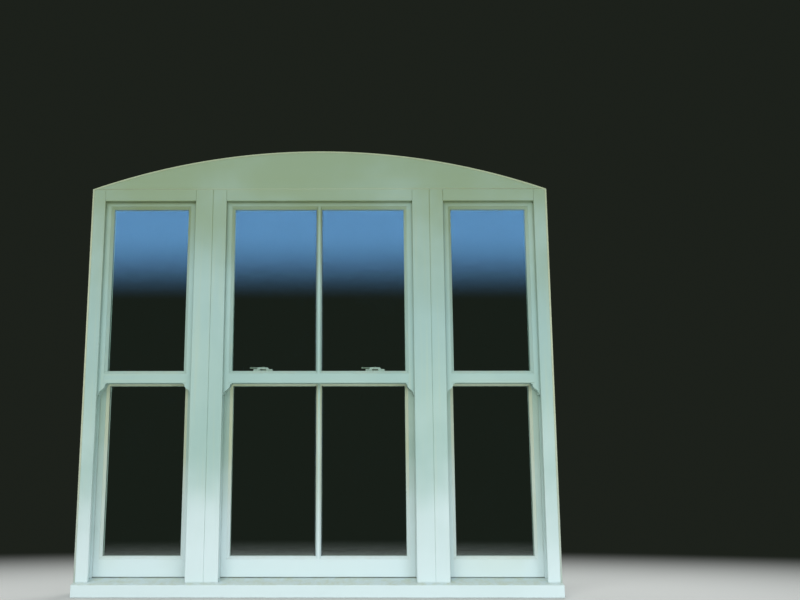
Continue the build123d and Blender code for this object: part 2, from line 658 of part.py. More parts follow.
def make_frame():
    save("sill", make_sill())
    save("arch_board", make_arch_board())
    save("arch_blocks", *make_arch_blocks())
    parting, staff, tubes = [], [], []
    for name, left, x0, x1, right in LIGHTS:
        save(f"jambs_{name}", make_jamb(left, x0, name == "left"), make_jamb(right, x1, name == "right"))
        save(f"head_{name}", make_head(left, right, x0, x1))
        save(f"side_linings_{name}", make_side_lining(left, x0), make_side_lining(x1, right))
        save(f"head_lining_{name}", make_head_lining(x0, x1))
        parting += make_parting_beads(x0, x1)
        staff += make_staff_beads(x0, x1)
        edge_left, edge_right, _, _ = sash_edges(x0, x1)
        for edge, side in ((edge_left, 1), (edge_right, -1)):
            tubes.append(make_tube(edge, side, OUTER_FRONT, UPPER_TUBE_FOOT))
            tubes.append(make_tube(edge, side, INNER_FRONT, LOWER_TUBE_FOOT))
    save("parting_beads", *parting)
    save("staff_beads", *staff)
    save("balance_tubes", *tubes)
    save("mullion_covers", make_cover(LEFT_SEAM), make_cover(RIGHT_SEAM))


def make_sashes():
    for name, _, x0, x1, _ in LIGHTS:
        edges = tuple(zip(sash_edges(x0, x1)[:2], (1, -1)))
        upper_stiles = make_upper_stiles(x0, x1)
        upper_rails = [fitted(make_top_rail(x0, x1), upper_stiles),
                       fitted(make_upper_meeting_rail(x0, x1), upper_stiles)]
        lower_stiles = make_lower_stiles(x0, x1)
        lower_rails = [fitted(make_lower_meeting_rail(x0, x1), lower_stiles),
                       fitted(make_bottom_rail(x0, x1), lower_stiles)]
        save(f"upper_stiles_{name}", *upper_stiles)
        save(f"upper_rails_{name}", *upper_rails)
        save(f"lower_stiles_{name}", *lower_stiles)
        save(f"lower_rails_{name}", *lower_rails)
        if name == "centre":
            save("upper_bar", fitted(make_bar(OUTER_FRONT, MEETING_TOP, UPPER_SIGHT), upper_rails))
            save("lower_bar", fitted(make_bar(INNER_FRONT, BOTTOM_SIGHT, LOWER_SIGHT), lower_rails))
        for place, front, low, high in (("upper", OUTER_FRONT, MEETING_TOP, UPPER_SIGHT),
                                        ("lower", INNER_FRONT, BOTTOM_SIGHT, LOWER_SIGHT)):
            save(f"{place}_glazing_{name}", *make_glazing(name, x0, x1, front, low, high))
            save(f"{place}_putty_{name}", *make_putty(name, x0, x1, front, low, high))
        save(f"upper_rods_{name}",
             *[make_rod(edge, side, OUTER_FRONT, UPPER_SEAT, UPPER_ROD_TOP) for edge, side in edges])
        save(f"lower_rods_{name}",
             *[make_rod(edge, side, INNER_FRONT, LOWER_SEAT, LOWER_ROD_TOP) for edge, side in edges])
        save(f"lift_{name}", make_lift((x0 + x1) / 2))


def make_fasteners():
    places = (CENTRE_X - FASTENER_X, CENTRE_X + FASTENER_X)
    save("fastener_keeps", *[make_keep(x) for x in places])
    save("fastener_bases", *[make_base(x) for x in places])
    save("fastener_lever_left", make_lever(places[0]))
    save("fastener_lever_right", make_lever(places[1]))


os.makedirs("parts", exist_ok=True)
make_frame()
make_sashes()
make_fasteners()
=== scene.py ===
from math import pi

import bpy
import numpy as np
from mathutils import Matrix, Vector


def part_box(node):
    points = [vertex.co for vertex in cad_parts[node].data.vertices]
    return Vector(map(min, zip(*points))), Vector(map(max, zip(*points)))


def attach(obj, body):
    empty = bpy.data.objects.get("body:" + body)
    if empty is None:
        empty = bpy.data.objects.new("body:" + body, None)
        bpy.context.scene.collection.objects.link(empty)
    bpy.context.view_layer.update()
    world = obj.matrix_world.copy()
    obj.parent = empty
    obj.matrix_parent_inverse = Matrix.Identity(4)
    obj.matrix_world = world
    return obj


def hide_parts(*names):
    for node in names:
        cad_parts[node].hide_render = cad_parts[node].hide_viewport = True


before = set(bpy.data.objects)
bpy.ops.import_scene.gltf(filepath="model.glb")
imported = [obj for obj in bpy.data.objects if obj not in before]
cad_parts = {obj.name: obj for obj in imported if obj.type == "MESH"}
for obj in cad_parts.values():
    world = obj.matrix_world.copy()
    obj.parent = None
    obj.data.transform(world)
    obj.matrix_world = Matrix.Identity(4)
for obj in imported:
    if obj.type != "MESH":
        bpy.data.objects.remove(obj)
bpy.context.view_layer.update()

# Lengths are in metres and angles in radians. X runs to the right as seen from outside, Y into the room and
# Z up.
MM = 0.001
SIDES = ("left", "centre", "right")
PLACES = ("upper", "lower")

# Flat plates: their corners' bend is just wider than the arris, so that no ring shrinks to a point
BEND_OVER_ARRIS = 1.01

# Glazing units
PANE = 4 * MM
PANE_ARRIS = 0.4 * MM
EDGE_SEAL = 3.2 * MM
SEAL_BEND = 1 * MM
SEAL_GAP = 0.05 * MM
SPACER_RISE = 6.3 * MM
SPACER_TOP = EDGE_SEAL + SPACER_RISE
SPACER_BEND = 2.5 * MM
SPACER_LIP = 0.9 * MM
BAR_BITE = 5 * MM

# Sealant round the outer edge of the boards, and the filled joint under the arched one
SEALANT_WIDTH = 7 * MM
SEALANT_RISE = 1.8 * MM
JOINT_WIDTH = 3 * MM
JOINT_RISE = 0.5 * MM
ARCH_STEPS = 97
BEAD_STEPS = 9

# Plates of the fasteners
PLATE_LENGTH = 76 * MM
PLATE_THICK = 3.5 * MM

# Keeps: thick ends and a bridge, whose mouth is narrower in front of the cam than behind it
KEEP_END_RISE = 8.5 * MM
KEEP_END_BEND = 2.2 * MM
KEEP_ARRIS = 0.3 * MM
KEEP_STEP = 0.05 * MM
KEEP_SINK = 0.9 * MM
BRIDGE_HALF = 20.5 * MM
BRIDGE_SPREAD = 2.5 * MM
BRIDGE_BEND = 2.4 * MM
BRIDGE_FOOT_BEND = 1.2 * MM
MOUTH_HALF = 17.5 * MM
MOUTH_RISE = 9.1 * MM
MOUTH_BEND = 0.8 * MM
MOUTH_FRONT_HALF = 12 * MM
CHEEK_DEPTH = 8.8 * MM

# Screws of the fasteners and lifts. The core is the innermost ring's share of the radius, and the cross's
# walls slope over shares of its half width and of its reach
SCREW_INSET = 6 * MM
SCREW_RADIUS = 2.9 * MM
SCREW_CORE = 0.05
SCREW_RINGS = 13
SCREW_POINTS = 72
SCREW_DOME = 0.5 * MM
SCREW_SINK = 0.4 * MM
SCREW_TURNS = (0.35, 1.1)
CROSS_REACH = 1.7 * MM
CROSS_HALF = 0.34 * MM
CROSS_DEPTH = 0.8 * MM
CROSS_WALL = 0.6
CROSS_END = 0.25
LIFT_FACE = 3.0 * MM
LIFT_TURN = 0.6


# Surfaces

def grid_faces(rows, columns, wrap_rows, wrap_columns):
    """Faces between neighbours of a grid: each point joins the next along its row and its column, and the
    last joins the first where the grid wraps."""
    index = np.arange(rows * columns).reshape(rows, columns)
    if wrap_rows:
        index = np.concatenate([index, index[:1]], axis=0)
    if wrap_columns:
        index = np.concatenate([index, index[:, :1]], axis=1)
    corners = [index[:-1, :-1], index[1:, :-1], index[1:, 1:], index[:-1, 1:]]
    return np.stack(corners, axis=-1).reshape(-1, 4).tolist()


def with_ends(points):
    """A closed shape from rings of points: faces from each ring to the next, and the first and last ring
    filled."""
    rings, count = points.shape[:2]
    last = (rings - 1) * count
    ends = [list(range(count)), list(range(last, last + count))[::-1]]
    return points, grid_faces(rings, count, False, True) + ends


def rings_along(start, ways, reach, depth):
    """Rings of points along an outline that faces the front: a ring's points are the outline's, moved by the
    ring's reach times each point's way, at the ring's depth."""
    flat = start[None] + reach[:, None, None] * ways[None]
    return np.stack([flat[..., 0], np.broadcast_to(depth[:, None], flat.shape[:2]), flat[..., 1]], axis=-1)


def plate_rings(y0, y1, arris):
    """Insets and depths of a flat plate's four rings, from front to back, with its arrises taken off."""
    return np.array([arris, 0, 0, arris]), np.array([y0, y0 + arris, y1 - arris, y1])


def rounded_rectangle(x0, x1, z0, z1, bend, steps):
    """Corners of a rectangle as quarter circles: each point is its corner's centre plus the bend times the
    cosine and sine of an angle. Gives the centres and the directions, so that a ring can be inset."""
    angle = np.linspace(0, pi / 2, steps)
    turns = np.concatenate([angle + k * pi / 2 for k in range(4)])
    ways = np.stack([np.cos(turns), np.sin(turns)], axis=-1)
    corners = np.array([[x1 - bend, z1 - bend], [x0 + bend, z1 - bend], [x0 + bend, z0 + bend],
                        [x1 - bend, z0 + bend]])
    return np.repeat(corners, steps, axis=0), ways


def carried_round(x0, x1, z0, z1, section, bend, steps):
    """A closed section carried round a rectangle: at an inset s and a depth y, each ring point is its
    corner's centre plus (bend - s) times its direction, at depth y."""
    centres, ways = rounded_rectangle(x0, x1, z0, z1, bend, steps)
    inset, depth = np.transpose(section)
    return rings_along(centres, ways, bend - inset, depth), grid_faces(len(section), len(ways), True, True)


def slab(x0, x1, z0, z1, y0, y1, arris):
    """A flat plate with its arrises taken off: its four rings lie round a rectangle, each at the bend minus
    its inset from the corners' centres."""
    bend = arris * BEND_OVER_ARRIS
    centres, ways = rounded_rectangle(x0, x1, z0, z1, bend, steps=2)
    inset, depth = plate_rings(y0, y1, arris)
    return with_ends(rings_along(centres, ways, bend - inset, depth))


def surface(name, points, faces, material):
    """A mesh in one material, as an object at the origin."""
    mesh = bpy.data.meshes.new(name)
    mesh.from_pydata(points.reshape(-1, 3).tolist(), [], faces)
    mesh.materials.append(material)
    made = bpy.data.objects.new(name, mesh)
    bpy.context.scene.collection.objects.link(made)
    return made


def piece(name, parts, material, body, smooth=False, replaces=()):
    """One object from parts of (points, faces): the points of all parts in a row, the faces shifted to
    match. It rides on a body, takes one material and may stand for nodes."""
    points, faces, start = [], [], 0
    for part_points, part_faces in parts:
        points.append(part_points.reshape(-1, 3))
        faces += [[i + start for i in face] for face in part_faces]
        start += len(points[-1])
    made = surface(name, np.concatenate(points), faces, material)
    made.data.polygons.foreach_set("use_smooth", np.full(len(made.data.polygons), smooth))
    made.data.validate()
    made.data.update()
    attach(made, body)
    if replaces:
        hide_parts(*replaces)


# Shader nodes

def add(tree, kind, values=None, **settings):
    """One node: its settings are attributes, its values go on its inputs by name or by place."""
    made = tree.nodes.new(kind)
    for key, value in settings.items():
        setattr(made, key, value)
    for key, value in (values or {}).items():
        if isinstance(value, bpy.types.NodeSocket):
            tree.links.new(value, made.inputs[key])
        else:
            made.inputs[key].default_value = value
    return made


def group(name, takes, gives):
    """An empty node group with named sockets: takes and gives hold the kind of each."""
    tree = bpy.data.node_groups.new(name, "ShaderNodeTree")
    for way, sockets in (("INPUT", takes), ("OUTPUT", gives)):
        for label, kind in sockets.items():
            tree.interface.new_socket(name=label, in_out=way, socket_type=f"NodeSocket{kind}")
    return tree, tree.nodes.new("NodeGroupInput").outputs, tree.nodes.new("NodeGroupOutput").inputs


def placed(tree, effect, values=None):
    """A node group in a material, with the material's own values."""
    return add(tree, "ShaderNodeGroup", values, node_tree=effect).outputs


def on_piece(tree):
    """Coordinates on the piece, in metres."""
    return add(tree, "ShaderNodeTexCoord").outputs["Object"]


def part_of(tree, vector, axis):
    """One axis of a place or a normal."""
    return add(tree, "ShaderNodeSeparateXYZ", {0: vector}).outputs[axis]


def drawn_out(tree, place, scale):
    """Coordinates scaled along each axis: a pattern on them is longest where the scale is lowest."""
    return add(tree, "ShaderNodeMapping", {"Vector": place, "Scale": scale}).outputs[0]


def noise(tree, place, scale, detail, roughness=0.5):
    """Soft noise, mostly between 0.3 and 0.7."""
    return add(tree, "ShaderNodeTexNoise", {"Vector": place, "Scale": scale, "Detail": detail,
                                            "Roughness": roughness}).outputs[0]


def maths(tree, operation, a, b=0.0, clamp=False):
    """One operation on two values, held between 0 and 1 with clamp."""
    return add(tree, "ShaderNodeMath", {0: a, 1: b}, operation=operation, use_clamp=clamp).outputs[0]


def between(tree, value, span, out=(0.0, 1.0)):
    """Maps a value from one span to another, smoothly and held at both ends."""
    return add(tree, "ShaderNodeMapRange", {0: value, 1: span[0], 2: span[1], 3: out[0], 4: out[1]},
               interpolation_type="SMOOTHSTEP").outputs[0]


def mixed(tree, share, first, second):
    """A share of the second colour in the first. The node's colours are its inputs 6 and 7 and its
    output 2."""
    return add(tree, "ShaderNodeMix", {0: share, 6: first, 7: second}, data_type="RGBA").outputs[2]


def mixed_shaders(tree, share, first, second):
    """A share of the second shader in the first."""
    return add(tree, "ShaderNodeMixShader", {0: share, 1: first.outputs[0], 2: second.outputs[0]})


def shown(tree, shader, output="ShaderNodeOutputMaterial"):
    """Makes a shader the surface of a material or the world."""
    tree.links.new(shader.outputs[0], add(tree, output).inputs["Surface"])


def new_material(name):
    """An empty material and its node tree."""
    material = bpy.data.materials.new(name)
    material.use_nodes = True
    material.node_tree.nodes.clear()
    return material, material.node_tree


def colour(red, green_and_shaded, blue):
    """A display colour from 0 to 255 as the linear value that a shader takes, by the standard display
    curve."""
    share = np.array([red, green_and_shaded, blue]) / 255
    linear = np.where(share <= 0.04045, share / 12.92, ((share + 0.055) / 1.055) ** 2.4)
    return tuple(float(v) for v in linear) + (1.0,)


# Paint and dirt colours. The white paint's two tones are pale blue-green: painted shade on white paint
SHADE_TINTED_WHITE_PAINT = colour(177, 204, 194)
SHADED_PAINT = colour(167, 196, 187)
OLD_PAINT = colour(190, 205, 180)
# Painted warm reflected light on the inner sashes' putty and rails
WARM_LIT_PUTTY = colour(202, 212, 188)
WARM_LIT_PAINT = colour(198, 207, 174)
WARM_LIT_SHADE = colour(188, 201, 174)
# Painted shade on the inner sashes' stiles and bars
SHADED_INNER_PAINT = colour(176, 200, 184)
INNER_SHADE = colour(164, 191, 178)
# Growth and painted leaf shade towards the arch
GREENED_AND_SHADED_PAINT = colour(147, 164, 120)
# Clean paint and painted light from below, at the foot
CLEAN_AND_LIT_PAINT = colour(216, 232, 234)
ROOM_PAINT = colour(206, 219, 212)
ROOM_SHADE = colour(198, 213, 205)
# Dark colour of dirt and of painted shade in corners and gaps
DIRT_AND_SHADE = colour(118, 122, 102)
DUST = colour(196, 192, 176)
# Moss and dust on faces that look up, with painted warm sunlight in their colour
MOSS_DUST_AND_SUNLIGHT = colour(202, 207, 172)

# Coats, metals, sealant and bare timber
KEEP_COAT = colour(236, 238, 228)
# Levers and bases: their white coat darkened to grey by painted shade of the room side
SHADED_LEVER_COAT = colour(156, 160, 144)
BALANCE_COAT = colour(214, 216, 212)
ROD_METAL = colour(176, 178, 180)
SPACER_METAL = colour(52, 56, 58)
SEAL_BLACK = colour(24, 25, 26)
SEALANT_TONE = colour(204, 212, 182)
SCREW_STEEL = colour(186, 187, 184)
SPRING_WOOD = colour(204, 176, 134)
SUMMER_WOOD = colour(184, 150, 106)
WOOD_FIBRE = colour(166, 132, 94)

# Glass: the tint of its body, and what soft light keeps on its way through
PANE_TINT = (0.86, 0.93, 0.91, 1.0)
PANE_CLEAR = (0.93, 0.96, 0.95, 1.0)

# Heights between which the paint turns green and darker with painted leaf shade, and comes clean and lighter
# with painted light, and the noise added to the height
GREENED_AND_SHADED = (1.05, 1.76)
CLEANED_AND_LIT = (0.70, 0.05)
HEIGHT_NOISE = (-0.12, 0.12)

# Depths between which the paint counts as indoors, and how far a face has to look into the room for it
INDOORS = (0.036, 0.052)
LOOKS_INTO_ROOM = (0.3, 0.7)

# Dirt and painted shade gather in corners within this reach, and dust on faces whose normal points up by
# this much
CREVICE_REACH = 6 * MM
LOOKS_UP = (0.35, 0.95)

# Noise between which patches of dirt and painted shade, dust, paint and height come in, an older coat in the
# brush marks, a film on the glass, darker patches on a coat and fibres in the timber
DIRT_AND_SHADE_PATCHES = (0.32, 0.68)
DUST_PATCHES = (0.34, 0.76)
PAINT_PATCHES = (0.35, 0.65)
HEIGHT_PATCHES = (0.3, 0.7)
OLD_STROKES = (0.45, 0.8)
FILM_PATCHES = (0.4, 0.75)
COAT_PATCHES = (0.4, 0.7)
FIBRES = (0.4, 0.8)

# Shares of the broad and the fine noise in the brush marks, and scales by axis of the dust and of the timber
BROAD_SHARE, FINE_SHARE = 0.6, 0.4
DUST_STREAKS = (15.0, 9.0, 9.0)
TIMBER_GRAIN = (22.0, 22.0, 1.6)

# How much brush marks, dust, patches and fibres dull a surface, how dark a coat's patches are, and how rough
# bare timber is
STROKES_DULL = 0.16
DUST_DULLS = 0.3
PATCHES_DULL = 0.18
FIBRES_DULL = 0.2
COAT_SHADE = 0.86
WOOD_ROUGHNESS = 0.6


def make_brush_marks():
    """Strokes of a paint brush: a broad noise and a fine one by their shares, both drawn out along the
    stroke. Their tone is the broad one alone."""
    tree, takes, gives = group("brush_marks", {"Strokes": "Vector"}, {"Height": "Float", "Tone": "Float"})
    place = drawn_out(tree, on_piece(tree), takes["Strokes"])
    fine = noise(tree, place, scale=1.0, detail=3.0, roughness=0.6)
    broad = noise(tree, place, scale=0.13, detail=2.0)
    height = maths(tree, "ADD", maths(tree, "MULTIPLY", broad, BROAD_SHARE),
                   maths(tree, "MULTIPLY", fine, FINE_SHARE))
    tree.links.new(height, gives["Height"])
    tree.links.new(broad, gives["Tone"])
    return tree


def make_crevice_dirt_and_shade():
    """Dirt and painted shade where faces are close together: what open sky a point lacks within a reach,
    broken up by noise.
    """
    tree, takes, gives = group("crevice_dirt_and_shade", {"Amount": "Float"}, {"Mask": "Float"})
    # Painted shade together with dirt: darker where little open sky is near, in corners, gaps and recesses
    open_sky = add(tree, "ShaderNodeAmbientOcclusion", {"Distance": CREVICE_REACH}, samples=6).outputs["AO"]
    patch = noise(tree, on_piece(tree), scale=9.0, detail=5.0, roughness=0.65)
    mask = maths(tree, "MULTIPLY", maths(tree, "SUBTRACT", 1.0, open_sky),
                 between(tree, patch, DIRT_AND_SHADE_PATCHES, out=(0.25, 1.0)))
    tree.links.new(maths(tree, "MULTIPLY", mask, takes["Amount"], clamp=True), gives["Mask"])
    return tree


def make_soft_arris():
    """Rounded arrises: the normal averaged over a small radius."""
    tree, takes, gives = group("soft_arris", {"Radius": "Float"}, {"Normal": "Vector"})
    rounded = add(tree, "ShaderNodeBevel", {"Radius": takes["Radius"]}, samples=4)
    tree.links.new(rounded.outputs[0], gives["Normal"])
    return tree


def make_settled_dust():
    """Dust on faces that look up: the upward part of the normal, times noise that is finer along X."""
    tree, takes, gives = group("settled_dust", {"Amount": "Float"}, {"Mask": "Float"})
    normal = add(tree, "ShaderNodeNewGeometry").outputs["Normal"]
    streaks = drawn_out(tree, on_piece(tree), DUST_STREAKS)
    patch = noise(tree, streaks, scale=1.6, detail=6.0, roughness=0.7)
    mask = maths(tree, "MULTIPLY", between(tree, part_of(tree, normal, "Z"), LOOKS_UP),
                 between(tree, patch, DUST_PATCHES))
    tree.links.new(maths(tree, "MULTIPLY", mask, takes["Amount"], clamp=True), gives["Mask"])
    return tree


def make_outdoor_growth_and_light():
    """Growth and painted light on the paint outdoors: greener and darker towards the arch, with painted leaf
    shade, and cleanest and lightest at the foot, with painted light from below, by the height with a little
    noise added."""
    tree, takes, gives = group("outdoor_growth_and_light", {"Paint": "Color"}, {"Color": "Color"})
    place = on_piece(tree)
    cloud = noise(tree, place, scale=2.3, detail=3.0)
    height = maths(tree, "ADD", part_of(tree, place, "Z"), between(tree, cloud, HEIGHT_PATCHES, HEIGHT_NOISE))
    # Growth and painted leaf shade: greener and darker towards the arch
    green_and_shaded = mixed(tree, between(tree, height, GREENED_AND_SHADED), takes["Paint"], GREENED_AND_SHADED_PAINT)
    # Clean paint and painted light from below: lighter towards the foot
    clean_and_lit = mixed(tree, between(tree, height, CLEANED_AND_LIT), green_and_shaded, CLEAN_AND_LIT_PAINT)
    tree.links.new(clean_and_lit, gives["Color"])
    return tree


def make_room_side():
    """Where a surface is indoors: it looks into the room, or lies behind a depth."""
    tree, _, gives = group("room_side", {}, {"Mask": "Float"})
    normal = add(tree, "ShaderNodeNewGeometry").outputs["Normal"]
    facing = between(tree, part_of(tree, normal, "Y"), LOOKS_INTO_ROOM)
    behind = between(tree, part_of(tree, on_piece(tree), "Y"), INDOORS)
    tree.links.new(maths(tree, "MAXIMUM", facing, behind), gives["Mask"])
    return tree


BRUSH_MARKS = make_brush_marks()
CREVICE_DIRT_AND_SHADE = make_crevice_dirt_and_shade()
SOFT_ARRIS = make_soft_arris()
SETTLED_DUST = make_settled_dust()
OUTDOOR_GROWTH_AND_LIGHT = make_outdoor_growth_and_light()
ROOM_SIDE = make_room_side()


# Materials

def finish(tree, values):
    """The material's one shader, with its values and links."""
    shown(tree, add(tree, "ShaderNodeBsdfPrincipled", values))


def bumped(tree, height, strength, depth, arris):
    """The normal of a fine relief of a given depth, over arrises rounded to a radius."""
    soft = placed(tree, SOFT_ARRIS, {"Radius": arris})["Normal"]
    return add(tree, "ShaderNodeBump", {"Strength": strength, "Distance": depth, "Height": height,
                                        "Normal": soft}).outputs[0]


def painted(name, strokes, arris=1.2 * MM, dirt_and_shade=0.6, dust=0.35, roughness=0.36, tone=SHADE_TINTED_WHITE_PAINT,
            shade=SHADED_PAINT, fallen_tone=DUST):
    """Satin paint on timber: two close tones in soft patches, brush marks along the piece, growth with
    painted shade and light outdoors and fresher paint indoors, rounded arrises, a little dirt and painted
    shade in corners, and dust."""
    material, tree = new_material(name)
    marks = placed(tree, BRUSH_MARKS, {"Strokes": strokes})
    patch = between(tree, noise(tree, on_piece(tree), scale=2.3, detail=3.0), PAINT_PATCHES)
    base = mixed(tree, patch, tone, shade)
    base = mixed(tree, between(tree, marks["Tone"], OLD_STROKES, out=(0.0, 0.35)), base, OLD_PAINT)
    # Growth outdoors, with painted leaf shade towards the arch and painted light at the foot
    base = placed(tree, OUTDOOR_GROWTH_AND_LIGHT, {"Paint": base})["Color"]
    indoors = mixed(tree, patch, ROOM_PAINT, ROOM_SHADE)
    base = mixed(tree, placed(tree, ROOM_SIDE)["Mask"], base, indoors)
    # Dirt and painted shade in corners and gaps
    base = mixed(tree, placed(tree, CREVICE_DIRT_AND_SHADE, {"Amount": dirt_and_shade})["Mask"], base, DIRT_AND_SHADE)
    fallen = placed(tree, SETTLED_DUST, {"Amount": dust})["Mask"]
    base = mixed(tree, fallen, base, fallen_tone)
    rough = maths(tree, "ADD", maths(tree, "MULTIPLY", marks["Height"], STROKES_DULL), roughness)
    rough = maths(tree, "ADD", rough, maths(tree, "MULTIPLY", fallen, DUST_DULLS), clamp=True)
    normal = bumped(tree, marks["Height"], strength=0.55, depth=0.35 * MM, arris=arris)
    finish(tree, {"Base Color": base, "Roughness": rough, "Normal": normal, "IOR": 1.48})
    return material


# How fine the brush marks are along X, Y and Z: they run where the value is lowest
UPRIGHT = (520.0, 520.0, 16.0)
LEVEL = (16.0, 520.0, 520.0)
ON_BEADS = (60.0, 520.0, 60.0)
ON_SILL = (14.0, 320.0, 320.0)
ON_BOARD = (12.0, 320.0, 320.0)
ON_PUTTY = (110.0, 300.0, 110.0)

post_paint = painted("post_paint", UPRIGHT)
rail_paint = painted("rail_paint", LEVEL)
bead_paint = painted("bead_paint", ON_BEADS, arris=0.8 * MM)
# The sill's top takes moss and dust with painted warm sunlight in its colour
sill_paint = painted("sill_paint", ON_SILL, arris=2.0 * MM, dirt_and_shade=0.7, dust=0.6, roughness=0.42,
                     fallen_tone=MOSS_DUST_AND_SUNLIGHT)
board_paint = painted("board_paint", ON_BOARD, arris=1.5 * MM, dirt_and_shade=0.4)
putty_paint = painted("putty_paint", ON_PUTTY, arris=0.6 * MM, dirt_and_shade=0.25, roughness=0.4)

# The inner sashes stand behind the outer ones: their stiles and bar are a little darker and warmer, a painted
# shade, and their rails and putty yellower, a painted warm reflected light
shaded_inner_post_paint = painted("shaded_inner_post_paint", UPRIGHT, tone=SHADED_INNER_PAINT, shade=INNER_SHADE)
warm_lit_rail_paint = painted("warm_lit_rail_paint", LEVEL, tone=WARM_LIT_PAINT, shade=WARM_LIT_SHADE)
warm_lit_putty_paint = painted("warm_lit_putty_paint", ON_PUTTY, arris=0.6 * MM, dirt_and_shade=0.25, roughness=0.4,
                                tone=WARM_LIT_PUTTY, shade=WARM_LIT_PAINT)


def make_glass():
    """Clear glass with the faint green of its iron and a breath of uneven polish. Soft light goes straight
    through it, so that what lies behind a pane is lit."""
    material, tree = new_material("pane_glass")
    film = noise(tree, on_piece(tree), scale=5.0, detail=4.0)
    rough = between(tree, film, FILM_PATCHES, out=(0.0, 0.03))
    glass = add(tree, "ShaderNodeBsdfPrincipled", {"Base Color": PANE_TINT, "Roughness": rough, "IOR": 1.5,
                                                   "Transmission Weight": 1.0})
    clear = add(tree, "ShaderNodeBsdfTransparent", {"Color": PANE_CLEAR})
    path = add(tree, "ShaderNodeLightPath").outputs
    soft = maths(tree, "MAXIMUM", path["Is Shadow Ray"], path["Is Diffuse Ray"])
    shown(tree, mixed_shaders(tree, soft, glass, clear))
    return material


def coated(name, tone, roughness, metal, grain, dirt_and_shade=0.5, grown_and_lit=0.0):
    """A coated or bare metal, or a sealant: one tone with darker patches that also dull it, a fine relief and
    rounded edges, and dirt and painted shade in corners. Outdoors it takes on a share of the paint's growth
    and painted light and shade."""
    material, tree = new_material(name)
    place = on_piece(tree)
    patch = noise(tree, place, scale=40.0, detail=3.0)
    darker = tuple(v * COAT_SHADE for v in tone[:3]) + (1.0,)
    base = mixed(tree, between(tree, patch, COAT_PATCHES, out=(0.0, 0.6)), tone, darker)
    # A share of the paint's growth and painted light and shade
    if grown_and_lit:
        base = mixed(tree, grown_and_lit, base, placed(tree, OUTDOOR_GROWTH_AND_LIGHT, {"Paint": base})["Color"])
    # Dirt and painted shade in corners and gaps
    base = mixed(tree, placed(tree, CREVICE_DIRT_AND_SHADE, {"Amount": dirt_and_shade})["Mask"], base, DIRT_AND_SHADE)
    rough = maths(tree, "ADD", maths(tree, "MULTIPLY", patch, PATCHES_DULL), roughness)
    fine = noise(tree, place, scale=grain, detail=2.0)
    normal = bumped(tree, fine, strength=0.4, depth=0.1 * MM, arris=0.5 * MM)
    finish(tree, {"Base Color": base, "Roughness": rough, "Metallic": metal, "Normal": normal})
    return material


pane_glass = make_glass()
fastener_coat = coated("fastener_coat", KEEP_COAT, roughness=0.28, metal=0.0, grain=900.0, dirt_and_shade=0.25)
# The levers and bases are darkened with painted shade
shaded_lever_coat = coated("shaded_lever_coat", SHADED_LEVER_COAT, roughness=0.28, metal=0.0, grain=900.0, dirt_and_shade=0.8)
balance_coat = coated("balance_coat", BALANCE_COAT, roughness=0.34, metal=0.0, grain=1200.0)
rod_metal = coated("rod_metal", ROD_METAL, roughness=0.3, metal=0.9, grain=700.0)
spacer_metal = coated("spacer_metal", SPACER_METAL, roughness=0.45, metal=0.3, grain=800.0)
edge_seal = coated("edge_seal", SEAL_BLACK, roughness=0.6, metal=0.0, grain=300.0)
sealant = coated("sealant", SEALANT_TONE, roughness=0.55, metal=0.0, grain=260.0, dirt_and_shade=0.12, grown_and_lit=0.55)
screw_steel = coated("screw_steel", SCREW_STEEL, roughness=0.26, metal=1.0, grain=600.0)


def make_softwood():
    """Sawn softwood: growth rings as waves over a bent coordinate, darker fibres along them, and saw
    marks."""
    material, tree = new_material("sawn_softwood")
    place = on_piece(tree)
    drawn = drawn_out(tree, place, TIMBER_GRAIN)
    rings = add(tree, "ShaderNodeTexWave", {"Vector": drawn, "Scale": 2.2, "Distortion": 5.0, "Detail": 3.0},
                wave_type="RINGS").outputs[1]
    fibre = noise(tree, drawn, scale=18.0, detail=4.0)
    base = mixed(tree, rings, SPRING_WOOD, SUMMER_WOOD)
    base = mixed(tree, between(tree, fibre, FIBRES, out=(0.0, 0.4)), base, WOOD_FIBRE)
    rough = maths(tree, "ADD", maths(tree, "MULTIPLY", fibre, FIBRES_DULL), WOOD_ROUGHNESS)
    saw = noise(tree, place, scale=420.0, detail=1.0)
    bump = add(tree, "ShaderNodeBump", {"Strength": 0.6, "Distance": 0.4 * MM, "Height": saw}).outputs[0]
    finish(tree, {"Base Color": base, "Roughness": rough, "Normal": bump})
    return material


sawn_softwood = make_softwood()


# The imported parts, by the way that their names start

FINISHES = (
    (post_paint, ("side_linings", "jambs", "upper_stiles", "upper_bar", "mullion_covers")),
    (shaded_inner_post_paint, ("lower_stiles", "lower_bar")),
    (rail_paint, ("head_", "upper_rails")),
    (warm_lit_rail_paint, ("lower_rails",)),
    (sill_paint, ("sill",)),
    (board_paint, ("arch_board",)),
    (sawn_softwood, ("arch_blocks",)),
    (bead_paint, ("parting_beads", "staff_beads")),
    (putty_paint, ("upper_putty",)),
    (warm_lit_putty_paint, ("lower_putty",)),
    (rod_metal, ("upper_rods", "lower_rods")),
    (balance_coat, ("balance_tubes",)),
    (fastener_coat, ("fastener_keeps", "lift")),
    (shaded_lever_coat, ("fastener_bases", "fastener_lever")),
    (pane_glass, ("upper_glazing", "lower_glazing")),
)
for label, cad_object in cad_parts.items():
    cad_object.data.materials.clear()
    cad_object.data.materials.append(next(made for made, starts in FINISHES if label.startswith(starts)))


# Glazing units

def unit_boxes(place, side):
    """The box of each sealed unit: the node's own box, parted at the bar where there is one."""
    (x0, y0, z0), (x1, y1, z1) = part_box(f"{place}_glazing_{side}")
    if side != "centre":
        return [(x0, x1, y0, y1, z0, z1)]
    (bar_left, _, _), (bar_right, _, _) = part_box(f"{place}_bar")
    return [(x0, bar_left + BAR_BITE, y0, y1, z0, z1), (bar_right - BAR_BITE, x1, y0, y1, z0, z1)]


